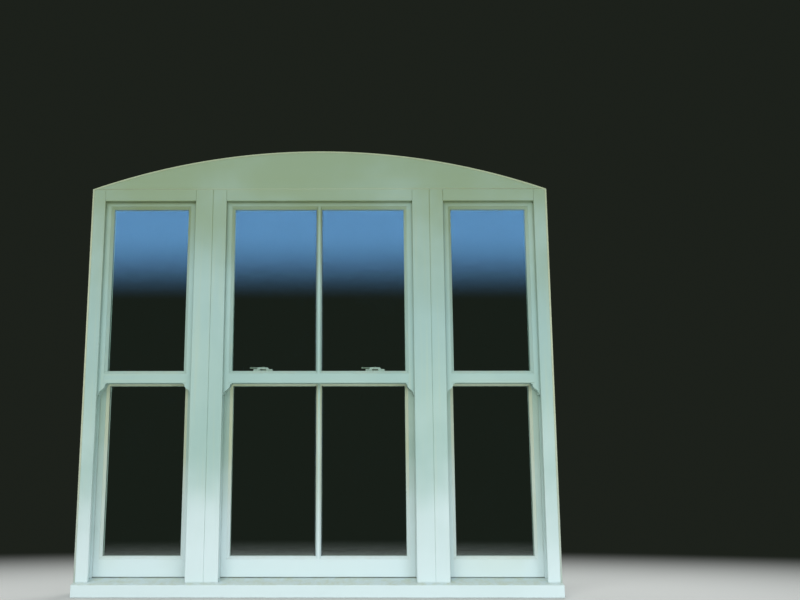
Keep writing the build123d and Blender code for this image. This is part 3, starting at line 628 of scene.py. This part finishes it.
def seal_section(inner, outer):
    """The dark seal between two panes: a plain bar at the unit's edge, as insets and depths."""
    return [(SEAL_GAP, inner + SEAL_GAP), (SEAL_GAP, outer - SEAL_GAP), (EDGE_SEAL, outer - SEAL_GAP),
            (EDGE_SEAL, inner + SEAL_GAP)]


def spacer_section(inner, outer):
    """The spacer inside the seal: a bar with its corners cut off and a fine groove along its middle."""
    low, high = EDGE_SEAL, SPACER_TOP
    middle, groove = (inner + outer) / 2, SPACER_LIP / 2
    return [(low, outer - SPACER_LIP), (low + SPACER_LIP, outer - SEAL_GAP),
            (high - SPACER_LIP, outer - SEAL_GAP), (high, outer - SPACER_LIP),
            (high, middle + groove), (high - groove, middle), (high, middle - groove),
            (high, inner + SPACER_LIP), (high - SPACER_LIP, inner + SEAL_GAP),
            (low + SPACER_LIP, inner + SEAL_GAP), (low, inner + SPACER_LIP)]


def make_glazing(place, side):
    """Two panes with their arrises off, a bent metal spacer between them and a dark seal round its back."""
    panes, spacers, seals = [], [], []
    for x0, x1, y0, y1, z0, z1 in unit_boxes(place, side):
        inner, outer = y0 + PANE, y1 - PANE
        panes += [slab(x0, x1, z0, z1, y0, inner, PANE_ARRIS), slab(x0, x1, z0, z1, outer, y1, PANE_ARRIS)]
        seals.append(carried_round(x0, x1, z0, z1, seal_section(inner, outer), SEAL_BEND, steps=4))
        spacers.append(carried_round(x0, x1, z0, z1, spacer_section(inner, outer), SPACER_BEND + SPACER_TOP,
                                     steps=7))
    body = f"{place}_sash_{side}"
    piece(f"{place}_panes_{side}", panes, pane_glass, body, replaces=(f"{place}_glazing_{side}",))
    piece(f"{place}_spacers_{side}", spacers, spacer_metal, body)
    piece(f"{place}_edge_seals_{side}", seals, edge_seal, body)


for place in PLACES:
    for side in SIDES:
        make_glazing(place, side)


# Sealant

def edge_path(steps):
    """Places along the outer edge of the boards, up the left side, over the arch and down the right side, and
    the way inward at each. The arch is one circle through its ends and its crown. At both corners the way
    inward is the mitre of the two that meet: their sum over one plus their dot product."""
    (left, front, spring), (right, _, crown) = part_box("arch_board")
    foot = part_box("side_linings_left")[0][2] - SEALANT_RISE / 2
    half, rise = (right - left) / 2, crown - spring
    radius = (half ** 2 + rise ** 2) / (2 * rise)
    turn = np.arcsin(half / radius)
    angle = np.linspace(-turn, turn, steps)
    arc = np.stack([radius * np.sin(angle), crown - radius + radius * np.cos(angle)], axis=-1)
    ways = np.stack([-np.sin(angle), -np.cos(angle)], axis=-1)
    rightward = np.array([1.0, 0.0])
    for end, side in ((0, rightward), (-1, -rightward)):
        ways[end] = (ways[end] + side) / (1 + ways[end] @ side)
    places = np.concatenate([[[left, foot]], arc, [[right, foot]]])
    return places, np.concatenate([[rightward], ways, [-rightward]]), front


def bead_along(places, ways, front, width, rise):
    """A low bead on a flat face: half an ellipse, carried along a path and laid to one side of it. At an
    angle t it lies width / 2 * (1 - cos t) from the path and stands rise * sin t proud."""
    turn = np.linspace(0, pi, BEAD_STEPS)[::-1]
    strips = rings_along(places, ways, width / 2 * (1 - np.cos(turn)), front - rise * np.sin(turn))
    return with_ends(np.swapaxes(strips, 0, 1))


def make_sealant():
    """The bead round the outer edge, and the filled joint between the arched board and the linings."""
    places, ways, front = edge_path(ARCH_STEPS)
    (left, _, spring), (right, _, _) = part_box("arch_board")
    level = spring + JOINT_WIDTH / 2
    joint = np.array([[left + SEALANT_WIDTH, level], [right - SEALANT_WIDTH, level]])
    down = np.array([[0.0, -1.0], [0.0, -1.0]])
    return [bead_along(places, ways, front, SEALANT_WIDTH, SEALANT_RISE),
            bead_along(joint, down, front, JOINT_WIDTH, JOINT_RISE)]


piece("edge_sealant", make_sealant(), sealant, "frame", smooth=True)


# Keeps

def soft_outline(corners, bend, steps):
    """A closed outline with soft corners: each corner is cut back by its bend along both edges, and at t the
    curve between the cuts is (1 - t)^2 of the first, 2t(1 - t) of the corner and t^2 of the second."""
    before, after = np.roll(corners, 1, axis=0) - corners, np.roll(corners, -1, axis=0) - corners
    first = corners + bend[:, None] * before / np.linalg.norm(before, axis=1, keepdims=True)
    second = corners + bend[:, None] * after / np.linalg.norm(after, axis=1, keepdims=True)
    t = np.linspace(0, 1, steps)[None, :, None]
    curve = (1 - t) ** 2 * first[:, None] + 2 * t * (1 - t) * corners[:, None] + t ** 2 * second[:, None]
    return curve.reshape(-1, 2)


def thick_outline(outline, y0, y1, arris):
    """A flat outline given a depth, its arrises taken off. The way inward at a point is the mitre of its two
    edges: the sum of their inward normals over one plus their dot product."""
    edge = np.roll(outline, -1, axis=0) - outline
    edge /= np.linalg.norm(edge, axis=1, keepdims=True)
    inward = np.stack([-edge[:, 1], edge[:, 0]], axis=-1)
    last = np.roll(inward, 1, axis=0)
    ways = (inward + last) / (1 + np.sum(inward * last, axis=1, keepdims=True))
    inset, depth = plate_rings(y0, y1, arris)
    return with_ends(rings_along(outline, ways, inset, depth))


def keep_body(x, y0, y1, foot, top):
    """A keep about its middle: plate, thick ends with the bridge between them, sunk a little into the plate,
    and a cheek each side of the mouth, in front of where the cam turns."""
    half, seat, mouth = PLATE_LENGTH / 2, foot + PLATE_THICK, foot + MOUTH_RISE
    low, end, side = seat - KEEP_SINK, foot + KEEP_END_RISE, half - KEEP_STEP
    right = [(MOUTH_HALF, mouth, MOUTH_BEND), (MOUTH_HALF, low, MOUTH_BEND), (side, low, MOUTH_BEND),
             (side, end, KEEP_END_BEND), (BRIDGE_HALF + BRIDGE_SPREAD, end, BRIDGE_FOOT_BEND),
             (BRIDGE_HALF, top, BRIDGE_BEND)]
    left = [(-across, rise, bend) for across, rise, bend in right[::-1]]
    corners = np.array(right + left)
    outline = soft_outline(corners[:, :2] + (x, 0), corners[:, 2], steps=5)
    parts = [slab(x - half, x + half, foot, seat, y0, y1, KEEP_ARRIS),
             thick_outline(outline, y0 + KEEP_STEP, y1 - KEEP_STEP, KEEP_ARRIS)]
    for way in (-1, 1):
        near, far = sorted((x + way * MOUTH_FRONT_HALF, x + way * (MOUTH_HALF + KEEP_ARRIS)))
        parts.append(slab(near, far, low, mouth + KEEP_ARRIS, y0 + 2 * KEEP_STEP, y0 + CHEEK_DEPTH,
                          KEEP_ARRIS))
    return parts


def make_keeps():
    """The two keeps, in the box of their node."""
    (x0, y0, z0), (x1, y1, z1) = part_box("fastener_keeps")
    middles = (x0 + PLATE_LENGTH / 2, x1 - PLATE_LENGTH / 2)
    return [part for x in middles for part in keep_body(x, y0, y1, z0, z1)]


piece("keeps", make_keeps(), fastener_coat, "upper_sash_centre", replaces=("fastener_keeps",))


# Screws

def screw_head(centre, across, up, turn):
    """A low domed head on a polar grid: at a radius r it stands dome * (1 - r^2 / R^2) over its seat, less
    the depth of a cross where r is inside the cross's reach and one of the two turned coordinates inside its
    half width, with sloped walls. The last ring drops into the seat."""
    radius = np.append(np.linspace(SCREW_CORE, 1.0, SCREW_RINGS), 1.0)[:, None] * SCREW_RADIUS
    angle = np.linspace(0, 2 * pi, SCREW_POINTS, endpoint=False)
    a, b = radius * np.cos(angle), radius * np.sin(angle)
    height = SCREW_DOME * (1 - (radius / SCREW_RADIUS) ** 2) + np.zeros_like(a)
    past_wall = (1 + CROSS_WALL) * CROSS_HALF - np.minimum(abs(a), abs(b))
    near_arm = np.clip(past_wall / (CROSS_WALL * CROSS_HALF), 0, 1)
    near_middle = np.clip((CROSS_REACH - radius) / (CROSS_END * CROSS_REACH), 0, 1)
    height -= CROSS_DEPTH * near_arm * near_middle
    height[-1] = -SCREW_SINK
    along = np.array(across) * np.cos(turn) + np.array(up) * np.sin(turn)
    over = np.array(up) * np.cos(turn) - np.array(across) * np.sin(turn)
    out = np.cross(across, up)
    points = np.asarray(centre) + a[..., None] * along + b[..., None] * over + height[..., None] * out
    return with_ends(points)


def plate_screws(node, rise):
    """Two heads on each of the two plates of a fastener node, near the plate's ends and at a rise above its
    foot."""
    (x0, y0, z0), (x1, y1, _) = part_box(node)
    heads = []
    for start in (x0, x1 - PLATE_LENGTH):
        for x, turn in zip((start + SCREW_INSET, start + PLATE_LENGTH - SCREW_INSET), SCREW_TURNS):
            heads.append(screw_head((x, (y0 + y1) / 2, z0 + rise), (1, 0, 0), (0, 1, 0), turn))
    return heads


def lift_screws(side):
    """Two heads low on the room face of a lift, each turned a little by its place."""
    (x0, y0, z0), (x1, _, _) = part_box(f"lift_{side}")
    places = (x0 + 2 * SCREW_INSET, x1 - 2 * SCREW_INSET)
    return [screw_head((x, y0 + LIFT_FACE, z0 + SCREW_INSET), (-1, 0, 0), (0, 0, 1), LIFT_TURN + x)
            for x in places]


def add_screws(name, heads, body):
    """A piece of several screw heads."""
    piece(name, heads, screw_steel, body, smooth=True)


add_screws("keep_screws", plate_screws("fastener_keeps", KEEP_END_RISE), "upper_sash_centre")
add_screws("base_screws", plate_screws("fastener_bases", PLATE_THICK), "lower_sash_centre")
for side in SIDES:
    add_screws(f"lift_screws_{side}", lift_screws(side), f"lower_sash_{side}")


# Floor and backdrop

BACKDROP = (0.012, 0.015, 0.011, 1.0)
FLOOR_TONE = (0.66, 0.67, 0.66, 1.0)
FLOOR_RADII = (0.01, 3.0, 9.0, 20.0, 45.0)
FLOOR_POINTS = 48
FLOOR_LEVEL = -0.5 * MM

# The pale oval is twice as wide as it is deep, its middle lies in front of the window, and it fades over a
# span of its depth
OVAL_SCALE = (0.5, 1.0, 1.0)
OVAL_SHIFT = (0.0, 0.35, 0.0)
OVAL_FADE = (0.75, 2.3)


def make_floor_material():
    """Pale floor that turns into the backdrop's own colour further out, sooner behind the window than beside
    it."""
    material, tree = new_material("pale_floor")
    oval = add(tree, "ShaderNodeMapping", {"Vector": on_piece(tree), "Location": OVAL_SHIFT,
                                           "Scale": OVAL_SCALE}).outputs[0]
    far = add(tree, "ShaderNodeVectorMath", {0: oval}, operation="LENGTH").outputs["Value"]
    base = add(tree, "ShaderNodeBsdfDiffuse", {"Color": FLOOR_TONE})
    glow = add(tree, "ShaderNodeEmission", {"Color": BACKDROP, "Strength": 1.0})
    shown(tree, mixed_shaders(tree, between(tree, far, OVAL_FADE), base, glow))
    return material


def make_floor():
    """A flat disc: points on circles of growing radius, the innermost one filled."""
    radius = np.array(FLOOR_RADII)[:, None]
    angle = np.linspace(0, 2 * pi, FLOOR_POINTS, endpoint=False)
    level = np.full((len(radius), FLOOR_POINTS), FLOOR_LEVEL)
    points = np.stack([radius * np.cos(angle), radius * np.sin(angle), level], axis=-1)
    faces = grid_faces(len(radius), FLOOR_POINTS, False, True) + [list(range(FLOOR_POINTS))]
    made = surface("floor", points, faces, make_floor_material())


make_floor()


# Light

WORLD_TINT = (0.95, 0.99, 1.0, 1.0)
WORLD_STRENGTH = 0.55


def make_world():
    """Even light from all round. Camera, glossy and transmission rays see the plain backdrop."""
    world = bpy.data.worlds.new("studio")
    bpy.context.scene.world = world
    world.use_nodes = True
    tree = world.node_tree
    tree.nodes.clear()
    path = add(tree, "ShaderNodeLightPath").outputs
    seen = maths(tree, "MAXIMUM", path["Is Glossy Ray"], path["Is Transmission Ray"])
    seen = maths(tree, "MAXIMUM", path["Is Camera Ray"], seen)
    even = add(tree, "ShaderNodeBackground", {"Color": WORLD_TINT, "Strength": WORLD_STRENGTH})
    plain = add(tree, "ShaderNodeBackground", {"Color": BACKDROP, "Strength": 1.0})
    shown(tree, mixed_shaders(tree, seen, even, plain), output="ShaderNodeOutputWorld")


make_world()

# The soft screen stands in front of the window. It fades towards its sides and its foot
SCREEN_TINT = (0.21, 0.51, 1.0, 1.0)
SCREEN_STRENGTH = 3.7
SCREEN_HALF = 6.5
SCREEN_FOOT, SCREEN_TOP = 1.2, 7.2
SCREEN_COLUMNS, SCREEN_ROWS = 14, 9
SCREEN_PLACE = -8.0
SCREEN_SIDE_FADE = (6.3, 3.4)
SCREEN_FOOT_FADE = (2.45, 3.35)


def make_screen_light():
    """The light of the soft screen: clear at its foot and sides, and bright at the middle of its top."""
    material, tree = new_material("screen_light")
    place = on_piece(tree)
    side = between(tree, maths(tree, "ABSOLUTE", part_of(tree, place, "X")), SCREEN_SIDE_FADE)
    level = maths(tree, "MULTIPLY", between(tree, part_of(tree, place, "Z"), SCREEN_FOOT_FADE), side)
    glow = add(tree, "ShaderNodeEmission", {"Color": SCREEN_TINT,
                                            "Strength": maths(tree, "MULTIPLY", level, SCREEN_STRENGTH)})
    clear = add(tree, "ShaderNodeBsdfTransparent")
    shown(tree, add(tree, "ShaderNodeAddShader", {0: clear.outputs[0], 1: glow.outputs[0]}))
    return material


def make_soft_screen():
    """A lit screen high in front of the window, for its glass to mirror: a flat sheet, as a grid of X and Z.
    It lights nothing and casts no shadow."""
    across, up = np.meshgrid(np.linspace(-SCREEN_HALF, SCREEN_HALF, SCREEN_COLUMNS),
                             np.linspace(SCREEN_FOOT, SCREEN_TOP, SCREEN_ROWS))
    points = np.stack([across, np.full(across.shape, SCREEN_PLACE), up], axis=-1)
    made = surface("soft_screen", points, grid_faces(*across.shape, False, False), make_screen_light())
    made.visible_camera = made.visible_diffuse = made.visible_shadow = False


make_soft_screen()


def stand(made, place, forward, right, up):
    """Puts a camera or lamp at a place, looking along forward."""
    turn = Matrix([[right[i], up[i], -forward[i]] for i in range(3)])
    made.matrix_world = Matrix.Translation(place) @ turn.to_4x4()
    bpy.context.scene.collection.objects.link(made)


def make_lamp(name, place, aim, size, power, tint):
    """A soft lamp that looks from its place at a point. It isn't seen itself, nor mirrored."""
    lamp = bpy.data.lights.new(name, "AREA")
    lamp.shape = "RECTANGLE"
    lamp.size, lamp.size_y = size
    lamp.energy = power
    lamp.color = tint
    forward = np.array(aim, dtype=float) - np.array(place, dtype=float)
    forward /= np.linalg.norm(forward)
    right = np.cross(forward, (0.0, 0.0, 1.0))
    right /= np.linalg.norm(right)
    made = bpy.data.objects.new(name, lamp)
    made.visible_camera = made.visible_glossy = made.visible_transmission = False
    stand(made, place, forward, right, np.cross(right, forward))


make_lamp("key", place=(-2.0, -5.2, 3.2), aim=(0, 0, 0.8), size=(3.6, 2.8), power=120.0,
          tint=(1.0, 1.0, 0.94))
make_lamp("low_front", place=(1.2, -3.4, 0.35), aim=(0, 0, 0.35), size=(3.6, 0.6), power=48.0,
          tint=(0.92, 0.98, 1.0))
make_lamp("room_side", place=(1.5, 4.0, 3.2), aim=(0, 0, 0.9), size=(3.0, 3.0), power=110.0,
          tint=(1.0, 0.99, 0.96))


# Camera: its focal length and middle of projection are in pixels of the picture

PICTURE_WIDTH, PICTURE_HEIGHT = 800, 600
FOCAL = 974.5
MIDDLE_ACROSS, MIDDLE_DOWN = 345, 271
CAMERA_PLACE = (0.1230, -3.9154, 0.5025)
YAW, PITCH, ROLL = -0.0047, 0.1930, -0.0003
SENSOR_WIDTH = 36.0
CLIP_END = 200.0


def basis(yaw, pitch, roll):
    """Forward, right and up of a camera that looks along +Y, then turns by yaw, tilts by pitch and rolls."""
    forward = np.array([np.sin(yaw) * np.cos(pitch), np.cos(yaw) * np.cos(pitch), np.sin(pitch)])
    right = np.array([np.cos(yaw), -np.sin(yaw), 0.0])
    up = np.cross(right, forward)
    return forward, np.cos(roll) * right + np.sin(roll) * up, -np.sin(roll) * right + np.cos(roll) * up


def make_camera():
    """The photograph's camera."""
    camera = bpy.data.cameras.new("camera")
    camera.sensor_fit = "HORIZONTAL"
    camera.sensor_width = SENSOR_WIDTH
    camera.lens = FOCAL / PICTURE_WIDTH * SENSOR_WIDTH
    camera.shift_x = (PICTURE_WIDTH / 2 - MIDDLE_ACROSS) / PICTURE_WIDTH
    camera.shift_y = (MIDDLE_DOWN - PICTURE_HEIGHT / 2) / PICTURE_WIDTH
    camera.clip_end = CLIP_END
    made = bpy.data.objects.new("camera", camera)
    stand(made, CAMERA_PLACE, *basis(YAW, PITCH, ROLL))
    bpy.context.scene.camera = made


make_camera()
bpy.context.scene.view_settings.view_transform = "Standard"
